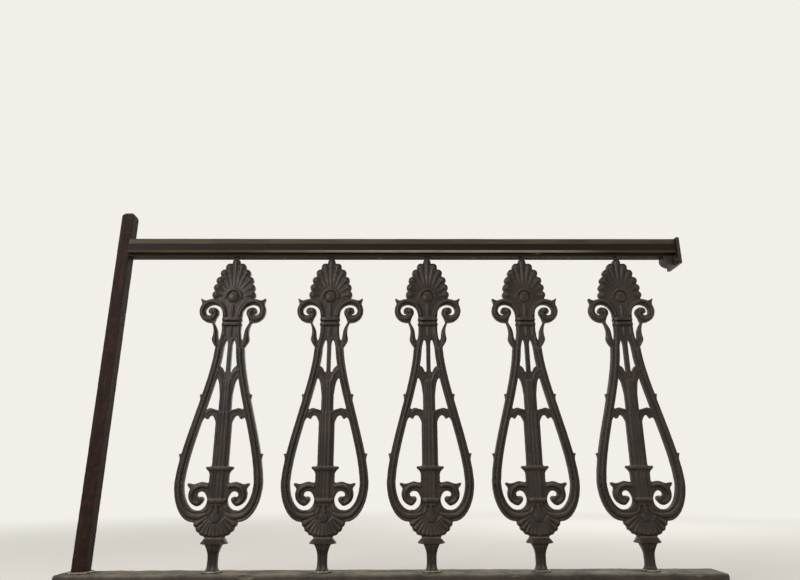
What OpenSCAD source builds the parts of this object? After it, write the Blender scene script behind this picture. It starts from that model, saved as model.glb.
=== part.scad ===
// Cast iron landing balustrade: lyre balusters between a kerb and a moulded handrail,
// with a newel post at the left end and a bracket on the wall at the right end.
// X runs along the rail, Y across it and Z up. The origin lies under the kerb,
// on the axis of the middle baluster.

/* [Railing] */
// Number of balusters
baluster_count = 5; // [2:1:6]
// Distance between baluster axes
baluster_pitch = 286; // [235:1:345]
// From the newel post's face to the first baluster axis
newel_gap = 320; // [160:1:385]
// From the last baluster axis to the wall
wall_gap = 183; // [140:1:300]

/* [Kerb] */
// Height of the kerb
kerb_h = 75; // [60:1:120]
// Width of the kerb across the rail
kerb_w = 100; // [90:1:160]
// Length of kerb beyond the newel post
kerb_overrun = 30; // [12:1:60]
// Chamfer along the kerb's upper edges
kerb_chamfer = 5; // [2:1:12]

/* [Baluster heights] */
// Foot, from the kerb to the cup
foot_h = 63; // [40:1:90]
// Cup on top of the foot
cup_h = 18; // [12:1:26]
// Lower palmette, from the cup to the lowest edge of the arms
root_h = 40; // [34:1:60]
// Bowl of the arms, from their lowest edge to their widest place
bowl_h = 101; // [96:1:130]
// Rise of the arms, from their widest place to the waist
rise_h = 368; // [300:1:460]
// Neck, from the waist to the rings
neck_h = 65; // [60:1:90]
// Pair of rings under the upper scrolls
rings_h = 25; // [20:1:34]
// Upper scrolls, from the rings to the upper palmette
crown_h = 58; // [54:1:72]
// Upper palmette, from its base to its tip
palm_h = 125; // [110:1:150]

/* [Baluster widths] */
// Half the greatest width across the arms
belly_r = 118.5; // [112:0.5:128]
// Half the width across the arms at the waist
waist_r = 42; // [40:0.5:51]
// Width of an arm
arm_w = 24; // [20:0.5:28]
// Half the width of the neck
neck_r = 27.5; // [25:0.5:30]
// Half the width of the stem below the cross leaf
stem_r = 22; // [18:0.5:25]
// Half the width of the slender stem between the arms
slip_r = 6; // [4.5:0.5:7]
// Half the width of the foot
foot_r = 15.5; // [12.5:0.1:19]
// Outer radius of an upper scroll
scroll_r = 36; // [30:0.1:44]
// Outer radius of a lower scroll
curl_r = 30; // [27:0.5:31]

/* [Casting thickness] */
// Thickness of the plain casting
web_t = 15; // [12:1:20]
// How far the fillets of the arms stand up from each face
fillet_rise = 2; // [0.5:0.5:4.5]
// How far the ribs and ridges stand up from each face
ridge_rise = 4; // [2.5:0.5:7.5]
// Thickness of the rings, collars and cup
ring_t = 34; // [28:1:40]
// Thickness of the foot
foot_t = 26; // [22:1:30]

/* [Handrail] */
// Width of the handrail
rail_w = 72; // [60:1:90]
// Height of the handrail
rail_h = 48; // [40:1:60]
// Width of the core bar
core_w = 34; // [28:1:40]
// Thickness of the core bar
core_t = 8; // [6:1:10]
// Gap between a baluster's tip and the core bar
tip_gap = 5; // [2:0.5:10]
// Diameter of the pins in the baluster tips
pin_d = 9; // [7:0.5:11]

/* [Newel post] */
// Side of the square post
newel_side = 38; // [30:0.1:60]
// Height of the post above the handrail
newel_rise = 92; // [60:1:140]

/* [Wall bracket] */
// Thickness of the plate on the wall
plate_t = 10; // [6:1:14]
// How far the corbel stands out of the plate
corbel_reach = 33; // [24:1:50]
// Height of the corbel
corbel_h = 30; // [24:1:44]
// Radius of the screw holes in the plate
plate_hole_r = 3; // [2.5:0.25:4]

/* [Hidden] */
$fn = 32;
EPS = 0.01;
// How far joined shapes lap over each other, and cuts run past a face
LAP = 1;

// Clearances between pieces that fit together
lead_clear = 0.2;
tenon_clear = 0.2;
pin_clear = 0.1;
butt_gap = 0.3;

// Thickness over the fillets and over the ridges
fillet_t = web_t + 2 * fillet_rise;
ridge_t = web_t + 2 * ridge_rise;

// Levels above the kerb's top
cup_z = foot_h;
root_z = cup_z + cup_h;
bowl_z = root_z + root_h;
belly_z = bowl_z + bowl_h;
waist_z = belly_z + rise_h;
rings_z = waist_z + neck_h;
crown_z = rings_z + rings_h;
palm_z = crown_z + crown_h;
tip_z = palm_z + palm_h;

// Places along the rail
run_l = newel_gap + (baluster_count - 1) * baluster_pitch + wall_gap;
middle_i = floor((baluster_count - 1) / 2);
first_x = -middle_i * baluster_pitch;
newel_face_x = first_x - newel_gap;
newel_x = newel_face_x - newel_side / 2;
wall_x = newel_face_x + run_l;
kerb_x = newel_face_x - newel_side - kerb_overrun;
function baluster_x(i) = first_x + i * baluster_pitch;

// Heights of the rail
core_z = kerb_h + tip_z + tip_gap;
housing_d = 2;
rail_z = core_z + core_t - housing_d;
rail_top_z = rail_z + rail_h;

// Foot tenons and the lead round them
tenon_d = 38;
lead_wall = 1.8;
lead_floor = 4;
lead_lip_w = 3;
lead_lip_h = 4;
lead_r = norm([foot_r, foot_t / 2]) + lead_wall;
lead_d = tenon_d + lead_floor;
newel_tenon_d = 46;
newel_lead_wall = 4;
newel_lead_r = newel_side / sqrt(2) + newel_lead_wall;
newel_lead_d = newel_tenon_d + lead_floor;

// Pins and screws in the core bar
pin_depth = 24;
screw_r = 2.5;
screw_head_r = 5;
screw_head_h = 3.5;
screw_l = 30;
screw_count = baluster_count - 1;
function screw_x(i) = baluster_x(i) + baluster_pitch / 2;

// Smooth line through key points: each stretch is a cubic that leaves and meets its
// points along the line between their neighbours
function spline_point(a, b, c, d, t) =
    0.5 * ((2 * b) + (c - a) * t + (2 * a - 5 * b + 4 * c - d) * t * t
    + (3 * b - a - 3 * c + d) * t * t * t);
function spline(p, steps) = [
    for (i = [0 : len(p) - 2])
        for (s = [0 : steps - 1])
            spline_point(p[max(i - 1, 0)], p[i], p[i + 1], p[min(i + 2, len(p) - 1)], s / steps),
    p[len(p) - 1]
];

// Outline of a band that follows a line of [x, z, half width] stations
function heading(p, i) = p[min(i + 1, len(p) - 1)] - p[max(i - 1, 0)];
function side_point(p, i, side) =
    let (h = heading(p, i), l = norm([h.x, h.y]))
    [p[i].x - side * p[i].z * h.y / l, p[i].y + side * p[i].z * h.x / l];
function band_outline(p) = concat(
    [for (i = [0 : len(p) - 1]) side_point(p, i, 1)],
    [for (i = [len(p) - 1 : -1 : 0]) side_point(p, i, -1)]
);
module band(stations, steps = 2) {
    polygon(band_outline(spline(stations, steps)));
}

// Points of a scroll given as [angle, share of radius, share of radius for half width]
function polar_stations(centre, r, list) = [
    for (s = list) [centre.x + r * s[1] * cos(s[0]), centre.y + r * s[1] * sin(s[0]), r * s[2]]
];

// Petal: round end at b, round root at a, straight sides that touch both rounds
function petal_outline(a, ra, b, rb, steps) =
    let (d = b - a, l = norm(d), dir = atan2(d.y, d.x), lean = asin((rb - ra) / l))
    concat(
        [for (s = [0 : steps]) let (t = dir - 90 - lean + s * (180 + 2 * lean) / steps)
            b + rb * [cos(t), sin(t)]],
        [for (s = [0 : 3]) let (t = dir + 90 + lean + s * (180 - 2 * lean) / 3)
            a + ra * [cos(t), sin(t)]]
    );
module petal(a, ra, b, rb, steps = 6) {
    polygon(petal_outline(a, ra, b, rb, steps));
}

// Both sides of a shape that is drawn for the right side
module both_sides() {
    children();
    mirror([1, 0]) children();
}

// Stand a drawn outline up as a plate of thickness t about the middle plane
module plate(t) {
    rotate([90, 0, 0]) linear_extrude(t, center = true) children();
}

// Arms: half a cosine wave with a little of its second harmonic from the belly to the waist
wave_share = 0.045;
function rise_reach(s) = (1 + cos(180 * s)) / 2 - wave_share * sin(360 * s);
rise_steps = 12;
bowl_steps = 9;
bowl_x = 60;
inner_bowl_x = 54;
bowl_wall = 29;
floor_z = bowl_z + bowl_wall;
// Line down an arm at a share of the way from its outside to its inside
function arm_line(share) =
    let (mid_x = bowl_x + share * (inner_bowl_x - bowl_x), low = bowl_h - share * bowl_wall)
    concat(
        [for (i = [rise_steps : -1 : 1]) let (s = i / rise_steps)
            [waist_r + (belly_r - waist_r) * rise_reach(s) - share * arm_w, belly_z + rise_h * s]],
        [for (i = [0 : bowl_steps]) let (t = 90 * i / bowl_steps)
            [mid_x + (belly_r - share * arm_w - mid_x) * cos(t), belly_z - low * sin(t)]]
    );
function reversed(p) = [for (i = [len(p) - 1 : -1 : 0]) p[i]];

// Distance from the axis to the outside of an arm at height z of its rise
function arm_x(z) = waist_r + (belly_r - waist_r) * rise_reach((z - belly_z) / rise_h);

// Relief of an arm, as shares of its width: a rib down the middle and a fillet by each edge
rib_share = 0.19;
fillet_from = 0.03;
fillet_to = 0.17;
RIB_TAIL = [[2, 0, 5], [-10, -1, 4.8], [-22, 2, 3.4], [-31, 7, 1.5]];

// Points given as shares of a scroll's radius from its centre, or in mm from a corner
function about(centre, r, list) = [for (p = list) centre + r * p];
function from(x, z, list) = [for (p = list) [x + p.x, z + p.y]];

// Lower scroll: stations of its gap and ridge, and outlines of its horn and saddle
curl_side_gap = 16;
curl_floor_gap = 10.5;
curl_c = [belly_r - arm_w - curl_side_gap - curl_r, floor_z + curl_floor_gap + curl_r];
CURL_GAP = [
    [-36, 0.23, 0.06], [-22, 0.09, 0.20], [153, 0.11, 0.22], [180, 0.31, 0.22], [202, 0.52, 0.17],
    [219, 0.71, 0.18], [233, 0.84, 0.19], [246, 0.95, 0.21], [262, 1.08, 0.19], [279, 1.18, 0.15]
];
CURL_RIDGE = [
    [138, 0.99, 0.10], [111, 0.80, 0.13], [80, 0.70, 0.13], [47, 0.67, 0.13], [16, 0.69, 0.13],
    [-9, 0.73, 0.13], [-36, 0.75, 0.13], [-61, 0.76, 0.13], [-81, 0.73, 0.13], [-101, 0.62, 0.13],
    [-110, 0.44, 0.15]
];
CURL_HORN_TOP = [[0.65, 0.90], [0.85, 0.92], [1.03, 0.99], [1.18, 0.92]];
CURL_HORN_UNDER = [[1.12, 0.75], [1.00, 0.62], [0.92, 0.50], [0.92, 0.35]];
CURL_SADDLE = [[-0.75, 1.05], [-0.60, 1.00], [-0.22, 1.08], [0, 1.08], [0.45, 0.93], [0.68, 0.90]];

// Upper scroll, which laps over the bell and hangs below the crown's ring
scroll_lap = 2.5;
scroll_drop = 14.5;
scroll_c = [neck_r + scroll_r - scroll_lap, crown_z + scroll_r - scroll_drop];
SCROLL_GAP = [
    [241, 1.19, 0.30], [225, 0.92, 0.26], [200, 0.78, 0.165], [174, 0.67, 0.13], [147, 0.545, 0.122],
    [112, 0.436, 0.125], [69, 0.386, 0.122], [30, 0.386, 0.12], [-6, 0.397, 0.117],
    [-37, 0.395, 0.10], [-63, 0.34, 0.078], [-85, 0.29, 0.03]
];
SCROLL_RIDGE = [
    [202, 1.22, 0.10], [182, 1.03, 0.11], [159, 0.89, 0.12], [131, 0.80, 0.12], [100, 0.78, 0.12],
    [71, 0.78, 0.12], [43, 0.76, 0.12], [14, 0.76, 0.12], [-11, 0.78, 0.12], [-37, 0.80, 0.12],
    [-60, 0.78, 0.12], [-85, 0.71, 0.13], [-110, 0.57, 0.13], [-136, 0.42, 0.13], [-169, 0.22, 0.13]
];
SCROLL_HORN_TOP = [[0.14, 0.99], [0.33, 0.90], [0.53, 0.87], [0.72, 0.925], [0.93, 1.05]];
SCROLL_HORN_UNDER = [[0.965, 0.96], [0.885, 0.765], [0.86, 0.55]];

// Where a horn and the saddle are rooted in their scroll
HORN_ROOT = [[0.5, 0.3]];
SADDLE_ROOT = [[0.5, 0.6], [-0.75, 0.2]];

// Leaf from the waist up to the upper scroll: [offset from the waist, share of its height]
leaf_h = scroll_c.y - scroll_r - waist_z;
LEAF_IN = [[-10, 0.22], [-6.5, 0.345], [-4.5, 0.48], [-2.5, 0.69], [4.5, 0.895], [12, 1.06]];
LEAF_OUT = [
    [18, 1.06], [11.5, 0.86], [9, 0.66], [10, 0.48], [12, 0.33], [7, 0.18], [0.5, 0.05], [-5, -0.06]
];
LEAF_VEIN = [[-4, 0.04, 1.2], [1.5, 0.2, 2.8], [3.5, 0.4, 2.8], [4, 0.62, 2.2], [9, 0.88, 1.6]];

// Bell between the upper scrolls, from the neck's corner at the crown
BELL_SIDE = [[0, -2], [1.5, 12], [4.5, 23]];
bell_turn = [0.5, 36];
bell_top = 46;

// Neck over the waist: its own side, the shoulder it makes with the arm, and the slot inside
ring_seat = 1.5;
NECK_SIDE = [[0, 48], [2, 32]];
SHOULDER = [[-9, 19], [-4, 8], [-4, -4]];
SLOT_SIDE = [[1, -4], [-1.5, 10], [-4.5, 21]];
SLIP_SIDE = [[2, 22], [0, 10]];
slot_top = 28;

// Pairs of rings and collars that wrap the casting: how far they stand out and half their height
ring_out = 2.5;
ring_half = 4.5;
ring_edge = 1;
collar_out = 14;
base_ring_out = 1.5;
collar_half = 4;

// Stem: its broad base that laps over the lower scrolls, its flared collar, the
// step at the cross leaf and the fork under the waist
base_lap = 7.5;
base_r = curl_c.x - curl_r + base_lap;
base_top_z = belly_z + 22;
collar_z = belly_z + 36;
stem_floor_z = bowl_z + 40;
base_ring_z = stem_floor_z + 14;
cross_z = belly_z + 183;
stem_top_r = 17;
fork_z = waist_z - 85;
fork_h = 34;
arm_lap = 4;
COLLAR_FLARE = [[-10, -15], [-7.5, -8.5], [-3.5, -4.5], [1, -0.5], [1.5, 2.5], [-1, 5], [-12, 5]];
STEP_SIDE = [[0, -22], [stem_top_r - stem_r, -4]];
FORK_FOOT = [[0, -50], [3, -27]];
FORK_UNDER = [[4.5, -18], [7, -9], [12.5, 0]];
FORK_TOP = [[11, 29], [6.5, 21], [4, 15], [0, 18]];

// Cross leaf between the stem and the arms: [share of the way across, height]
CROSS_TOP = [
    [0, 8.5], [0.075, 6.5], [0.2, 8], [0.325, 12], [0.525, 15], [0.7, 14], [0.825, 11.5], [1.08, 15]
];
CROSS_UNDER = [
    [1.11, -19], [1.02, -12], [0.925, -11.5], [0.84, -14], [0.76, -15.7], [0.7, -13.5], [0.62, -8],
    [0.525, -5.5], [0.425, -6], [0.325, -9], [0.25, -14], [0.175, -21], [0.1, -30]
];
function cross_point(p) =
    [stem_top_r - 1 + p.x * (arm_x(cross_z) - arm_w - stem_top_r + 1), cross_z + p.y];

// Body under the lower scrolls
BODY_UNDER = [[-16, -6], [2, 1]];
BODY_TOP = [[18, 1], [10, 5.5], [4, 12.5], [1.5, 20], [0, 28]];

// Spurs on the outside of the arms: levels above the belly, and points beside the arm
SPUR_LEVELS = [73, 235];
SPUR_EDGE = [[-4, -18], [0.5, -13], [3, -6], [7, 1]];
SPUR_BACK = [[1, 1.5], [-4, 4]];
function beside_arm(z, p) = [arm_x(z + p.y) + p.x, z + p.y];

// Upper palmette: shares of its half width and height at the round end of each side petal;
// its middle petal ends at the tip
palm_w = 52;
petal_r = 12.3;
tip_petal_r = 11.5;
petal_root_r = 14;
PALM_ENDS = [[0.353, 0.752], [0.635, 0.6], [0.838, 0.417], [0.95, 0.238], [1, 0.063]];
palm_reach = tip_z - palm_z;
palm_root_z = palm_z + 4;

// Lower palmette, upside down under the arms
fan_w = 48;
fan_reach = floor_z - root_z;
fan_petal_r = 9.5;
FAN_ENDS = [[0, 0.88], [0.22, 0.855], [0.44, 0.825], [0.656, 0.771], [0.856, 0.649], [1, 0.477]];

// Relief of the palmettes: round backs that start some way out from the root, as shares of the
// petals' radius, and a boss at the root with an arch over the upper one
back_share = 0.72;
fan_back_share = 0.62;
back_neck = 0.95;
back_rise = 2;
back_start_r = 2.8;
back_start = 31;
fan_back_start = 29;
boss_r = 15;
fan_boss_r = 11;
boss_rise = 3;
dome_edge = 1;
arch_r = 20;
arch_w = 5;
arch_foot = 3;

// Tongue over the lower body
tongue_top_z = bowl_z + 40;
tongue_h = 17;

// Reeds on the stem, the neck and the foot: distance from the axis and radius, and where
// those of the stem and the neck end
stem_reed_top = cross_z + 4;
slim_reed_top = fork_z - 8;
neck_reed_foot = waist_z + slot_top + 8;
stem_reed = [10, 5];
slim_reed = [7, 4];
neck_reed = [neck_r - 8.5, 2.8];
foot_reed = [6.5, 3];

// Foot and cup, from the foot's and the cup's outer corners; the levels of the cup's side are
// shares of its height
FOOT_FLARE = [[0, -22], [1.5, -12], [5, -2], [5, 2]];
cup_r = 37.5;
cup_throat = 8;
CUP_SIDE = [[-2, 0.08], [0, 0.28], [-1, 0.61], [-5, 0.83], [-12, 1.06]];
CUP_NECK = [[-12, 0], [-8, 7], [-9, 16]];

iron = "#2b2622";
lead_grey = "#4a4a4c";
rail_brown = "#2a1d17";
stone = "#4b4742";

// Names of the repeated pieces, numbered from the left
function numbered(name, count) = [for (i = [1 : count]) str(name, i)];

// Kerb with a round pocket for each lead seat
module landing_kerb() {
    c = kerb_chamfer;
    color(stone)
    difference() {
        translate([kerb_x, 0, 0])
            rotate([90, 0, 90])
            linear_extrude(wall_x - kerb_x)
            polygon([
                [-kerb_w / 2, 0], [kerb_w / 2, 0], [kerb_w / 2, kerb_h - c],
                [kerb_w / 2 - c, kerb_h], [c - kerb_w / 2, kerb_h], [-kerb_w / 2, kerb_h - c]
            ]);
        for (i = [0 : baluster_count - 1])
            translate([baluster_x(i), 0, kerb_h - lead_d]) cylinder(h = lead_d + EPS, r = lead_r);
        translate([newel_x, 0, kerb_h - newel_lead_d])
            cylinder(h = newel_lead_d + EPS, r = newel_lead_r);
    }
}

// Lead run in round a foot: a plug with a low sloping lip on the kerb
module lead_plug(r, depth, side_x, side_y, tenon) {
    lip_r = r + lead_lip_w;
    color(lead_grey)
    difference() {
        rotate_extrude()
            polygon([
                [0, -depth], [r - lead_clear, -depth], [r - lead_clear, 0],
                [lip_r, 0], [lip_r - lead_lip_h / 2, lead_lip_h], [0, lead_lip_h]
            ]);
        translate([-side_x / 2 - tenon_clear, -side_y / 2 - tenon_clear, -tenon])
            cube([side_x + 2 * tenon_clear, side_y + 2 * tenon_clear, tenon + lead_lip_h + EPS]);
    }
}
module lead_seat(i) {
    translate([baluster_x(i), 0, kerb_h])
        lead_plug(lead_r, lead_d, 2 * foot_r, foot_t, tenon_d);
}
module newel_lead() {
    translate([newel_x, 0, kerb_h])
        lead_plug(newel_lead_r, newel_lead_d, newel_side, newel_side, newel_tenon_d);
}

// Square post with a rounded top and a mortise for the core bar
core_tenon_l = 14;
core_tenon_w = 20;
module newel_post() {
    top_z = rail_top_z + newel_rise;
    color(iron)
    difference() {
        union() {
            translate([newel_x - newel_side / 2, -newel_side / 2, kerb_h - newel_tenon_d])
                cube([newel_side, newel_side, top_z - newel_side / 2 - kerb_h + newel_tenon_d]);
            intersection() {
                translate([newel_x, 0, top_z - newel_side / 2])
                    rotate([90, 0, 0])
                    cylinder(h = newel_side, r = newel_side / 2, center = true);
                translate([newel_x, 0, top_z - newel_side / 2])
                    rotate([0, 90, 0])
                    cylinder(h = newel_side, r = newel_side / 2, center = true);
            }
        }
        translate([newel_face_x - core_tenon_l - tenon_clear, -core_tenon_w / 2 - tenon_clear,
                   core_z - tenon_clear])
            cube([core_tenon_l + LAP, core_tenon_w + 2 * tenon_clear, core_t + 2 * tenon_clear]);
    }
}

// Flat bar with a tenon for the newel post, pin holes and countersunk screw holes
module core_bar() {
    end_x = wall_x - plate_t - butt_gap;
    color(iron)
    difference() {
        union() {
            translate([newel_face_x + butt_gap, -core_w / 2, core_z])
                cube([end_x - newel_face_x - butt_gap, core_w, core_t]);
            translate([newel_face_x - core_tenon_l, -core_tenon_w / 2, core_z])
                cube([core_tenon_l + core_w, core_tenon_w, core_t]);
        }
        for (i = [0 : baluster_count - 1])
            translate([baluster_x(i), 0, core_z - EPS])
                cylinder(h = core_t + 2 * EPS, d = pin_d + 2 * pin_clear);
        for (i = [0 : screw_count - 1])
            translate([screw_x(i), 0, core_z - EPS]) {
                cylinder(h = core_t + 2 * EPS, r = screw_r + pin_clear);
                cylinder(h = screw_head_h, r1 = screw_head_r + pin_clear, r2 = screw_r + pin_clear);
            }
    }
}

// Section of the handrail: a deep lower band, a quirk and a rounded top, with a housing below
band_h = 29;
quirk_w = 5;
quirk_slope = 2;
lower_round = 7;
upper_round = 11;
function rail_half(w, u) = concat(
    [[w - lower_round, 0]],
    [for (t = [-75 : 15 : 0])
        [w - lower_round + lower_round * cos(t), lower_round + lower_round * sin(t)]],
    [[w, band_h - quirk_slope], [w - quirk_slope, band_h], [u, band_h], [u, rail_h - upper_round]],
    [for (t = [15 : 15 : 90])
        [u - upper_round + upper_round * cos(t), rail_h - upper_round + upper_round * sin(t)]]
);
module rail_section() {
    half = rail_half(rail_w / 2, rail_w / 2 - quirk_w);
    difference() {
        polygon(concat(half, [for (p = reversed(half)) [-p.x, p.y]]));
        translate([-core_w / 2 - tenon_clear, -LAP])
            square([core_w + 2 * tenon_clear, housing_d + LAP]);
    }
}
module handrail() {
    color(rail_brown)
    difference() {
        translate([newel_face_x + butt_gap, 0, rail_z])
            rotate([90, 0, 90])
            linear_extrude(run_l - plate_t - 2 * butt_gap)
            rail_section();
        for (i = [0 : screw_count - 1])
            translate([screw_x(i), 0, rail_z])
                cylinder(h = screw_l - core_t + housing_d + LAP, r = screw_r + pin_clear);
    }
}

// Countersunk screw, head down, from the core bar up into the handrail
module rail_screw(i) {
    color(iron)
    translate([screw_x(i), 0, core_z])
    rotate_extrude()
        polygon([
            [0, 0], [screw_head_r, 0], [screw_r, screw_head_h], [screw_r, screw_l - 2 * screw_r],
            [0, screw_l]
        ]);
}

// Pin from a baluster's tip through the core bar
module tip_pin(i) {
    color(iron)
    translate([baluster_x(i), 0, kerb_h + tip_z - pin_depth])
        cylinder(h = pin_depth + tip_gap + core_t, d = pin_d);
}

// Plate on the wall with a corbel that carries the end of the core bar
plate_w = 84;
plate_up = 52;
plate_hole_y = 31;
corbel_side = 3;
corbel_lip = 1 / 3;
module wall_bracket() {
    corbel_w = core_w + 2 * corbel_side;
    color(iron)
    difference() {
        union() {
            translate([wall_x - plate_t, -plate_w / 2, core_z - corbel_h])
                cube([plate_t, plate_w, corbel_h + plate_up]);
            translate([0, corbel_w / 2, 0])
                rotate([90, 0, 0])
                linear_extrude(corbel_w)
                polygon(concat(
                    [[wall_x - plate_t, core_z], [wall_x - plate_t - corbel_reach, core_z]],
                    [for (t = [180 : 15 : 270])
                        [wall_x - plate_t + corbel_reach * cos(t),
                         core_z + corbel_h * ((1 - corbel_lip) * sin(t) - corbel_lip)]]
                ));
        }
        for (side = [-1, 1])
            translate([wall_x - plate_t - LAP, side * plate_hole_y, core_z - corbel_h / 2])
                rotate([0, 90, 0])
                cylinder(h = plate_t + 2 * LAP, r = plate_hole_r);
    }
}

// Strip of an arm between two shares of its width
module arm_strip(outer, inner) {
    polygon(concat(arm_line(outer), reversed(arm_line(inner))));
}

// Tail of the rib down an arm, which runs on under the lower body
module rib_tail() {
    start = arm_line(0.5);
    foot = start[len(start) - 1];
    band([for (p = RIB_TAIL) [foot.x + p.x, foot.y + p.y, p.z]]);
}

// Small pointed leaf on the outside of an arm
module spur(level) {
    z = belly_z + level;
    polygon(concat(
        spline([for (p = SPUR_EDGE) beside_arm(z, p)], 2),
        [for (p = SPUR_BACK) beside_arm(z, p)]
    ));
}

// Scroll with its gap, horn and ridge
module scroll_plate(centre, r, gap, horn_top, horn_under) {
    difference() {
        union() {
            translate(centre) circle(r);
            polygon(concat(
                spline(about(centre, r, horn_top), 3), spline(about(centre, r, horn_under), 3),
                about(centre, r, HORN_ROOT)
            ));
            children();
        }
        band(polar_stations(centre, r, gap));
    }
}

// Bell between the upper scrolls, which opens into their bands
module bell() {
    polygon(concat(
        [[-EPS, crown_z + BELL_SIDE[0].y]],
        spline(concat(
            from(neck_r, crown_z, BELL_SIDE),
            [[scroll_c.x - scroll_r * bell_turn.x, crown_z + bell_turn.y],
             [scroll_c.x, crown_z + bell_top]]
        ), 3),
        [[scroll_c.x, palm_z], [-EPS, palm_z]]
    ));
}
module crown() {
    scroll_plate(scroll_c, scroll_r, SCROLL_GAP, SCROLL_HORN_TOP, SCROLL_HORN_UNDER) bell();
}

// Leaf that runs from the waist up to the underside of an upper scroll
function leaf_point(p) = [waist_r + p.x, waist_z + leaf_h * p.y];
function leaf_edge(list) = spline([for (p = list) leaf_point(p)], 2);
module leaf() {
    polygon(concat(leaf_edge(LEAF_IN), leaf_edge(LEAF_OUT)));
}
module leaf_vein() {
    band([for (p = LEAF_VEIN) [leaf_point(p).x, leaf_point(p).y, p.z]]);
}

// Neck: the arms joined under the rings, with the tops of the slots cut into its lower edge
module neck() {
    inner_x = waist_r - arm_w;
    polygon(concat(
        [[-EPS, crown_z], [neck_r - ring_seat, crown_z], [neck_r, rings_z]],
        from(neck_r, waist_z, NECK_SIDE),
        from(waist_r, waist_z, SHOULDER),
        from(inner_x, waist_z, SLOT_SIDE),
        [[(slip_r + inner_x + SLOT_SIDE[0].y) / 2, waist_z + slot_top]],
        from(slip_r, waist_z, SLIP_SIDE),
        [[-EPS, waist_z + SLIP_SIDE[1].y]]
    ));
}

// Branches from the stem out to the arms, and the slender stem that goes on between them
module fork() {
    inner_low = arm_x(fork_z) - arm_w;
    inner_high = arm_x(fork_z + fork_h) - arm_w;
    slip_top = waist_z + SLIP_SIDE[1].y + LAP;
    polygon(concat(
        [[-EPS, fork_z + FORK_FOOT[1].y], [stem_top_r + FORK_FOOT[1].x, fork_z + FORK_FOOT[1].y]],
        spline(concat(
            from(stem_top_r, fork_z, FORK_UNDER), [[inner_low + arm_lap / 2, fork_z - arm_lap]]
        ), 2),
        [[inner_high + arm_lap, fork_z + fork_h]],
        spline(concat([[inner_high, fork_z + fork_h]], from(slip_r, fork_z, FORK_TOP)), 2),
        [[slip_r, slip_top], [-EPS, slip_top]]
    ));
}

// Stem from the lower scrolls up to the fork
module stem() {
    polygon(concat(
        [[-EPS, stem_floor_z], [base_r, stem_floor_z], [base_r, base_top_z],
         [base_r, collar_z], [stem_r, collar_z + 2 * collar_half]],
        from(stem_r, cross_z, STEP_SIDE),
        from(stem_top_r, fork_z, FORK_FOOT),
        [[-EPS, fork_z + FORK_FOOT[1].y + LAP]]
    ));
}
module collar_flare() {
    polygon(from(stem_r + collar_out, collar_z, COLLAR_FLARE));
}
module cross_leaf() {
    polygon(concat(
        spline([for (p = CROSS_TOP) cross_point(p)], 2),
        spline([for (p = CROSS_UNDER) cross_point(p)], 2)
    ));
}

// Body under the lower scrolls, where the arms and the stem run together
module lower_body() {
    body_top = from(base_r, floor_z, BODY_TOP);
    polygon(concat(
        [[-EPS, root_z + fan_petal_r]],
        from(bowl_x, bowl_z, BODY_UNDER),
        [[inner_bowl_x + arm_lap, floor_z]],
        body_top,
        [[-EPS, body_top[len(body_top) - 1].y]]
    ));
}
module lower_scroll() {
    scroll_plate(curl_c, curl_r, CURL_GAP, CURL_HORN_TOP, CURL_HORN_UNDER)
        polygon(concat(
            spline(about(curl_c, curl_r, CURL_SADDLE), 3),
            about(curl_c, curl_r, SADDLE_ROOT)
        ));
}

// Palmettes of petals that spread from one root
function upper_r(end) = end.x == 0 ? tip_petal_r : petal_r;
upper_ends = concat(
    [[0, tip_z - tip_petal_r]],
    [for (e = PALM_ENDS) [palm_w * e.x, palm_root_z + palm_reach * e.y]]
);
lower_ends = [for (e = FAN_ENDS) [fan_w * e.x, floor_z - fan_reach * e.y]];
module upper_palmette() {
    for (end = upper_ends)
        petal([0, palm_root_z], petal_root_r, end, upper_r(end));
}
module lower_palmette() {
    for (end = lower_ends)
        petal([0, floor_z], petal_root_r, end, fan_petal_r);
}

// Round backs of the petals on both faces: each swells along its petal to a ball at its end
function both_points(p) = p.x > 0 ? [p, [-p.x, p.y]] : [p];
module petal_back(root, end, start, r) {
    along = end - root;
    for (side = [-1, 1])
        translate([root.x, side * (ridge_t / 2 + back_rise - r), root.y])
            rotate([0, atan2(along.x, along.y), 0]) {
                translate([0, 0, start])
                    cylinder(h = norm(along) - start, r1 = back_start_r, r2 = back_neck * r);
                translate([0, 0, norm(along)]) sphere(r);
            }
}
module petal_backs() {
    for (end = upper_ends)
        for (p = both_points(end))
            petal_back([0, palm_root_z], p, back_start, back_share * upper_r(end));
    for (end = lower_ends)
        for (p = both_points(end))
            petal_back([0, floor_z], p, fan_back_start, fan_back_share * fan_petal_r);
}

// Low domes on the two faces of the boss at the root of the upper palmette
module boss_domes() {
    dome_r = boss_r - dome_edge;
    ball_r = (dome_r * dome_r + boss_rise * boss_rise) / (2 * boss_rise);
    face = (ridge_t + boss_rise) / 2;
    for (side = [0, 180])
        translate([0, 0, palm_root_z])
            rotate([90, 0, side])
            intersection() {
                translate([0, 0, face - boss_rise])
                    cylinder(h = 2 * boss_rise, r = boss_r - dome_edge / 2);
                translate([0, 0, face + boss_rise - ball_r]) sphere(ball_r);
            }
}

// Arch over the root of the upper palmette
module arch() {
    difference() {
        translate([0, palm_root_z]) circle(arch_r + arch_w);
        translate([0, palm_root_z]) circle(arch_r);
        translate([-palm_w, palm_root_z - palm_w]) square([2 * palm_w, palm_w - arch_foot]);
    }
}

// Ring that wraps the casting: a flat band with round edges and a round-cornered plan
module round_ended(half_w, r) {
    translate([half_w - r, 0]) circle(r);
    translate([r - half_w, 0]) circle(r);
    square([2 * (half_w - r), 2 * r], center = true);
}
module wrap_ring(z, half_w, half_h) {
    intersection() {
        plate(ring_t) translate([0, z]) round_ended(half_w, half_h);
        translate([0, 0, z - half_h]) linear_extrude(2 * half_h) round_ended(half_w, ring_t / 2);
    }
}

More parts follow.
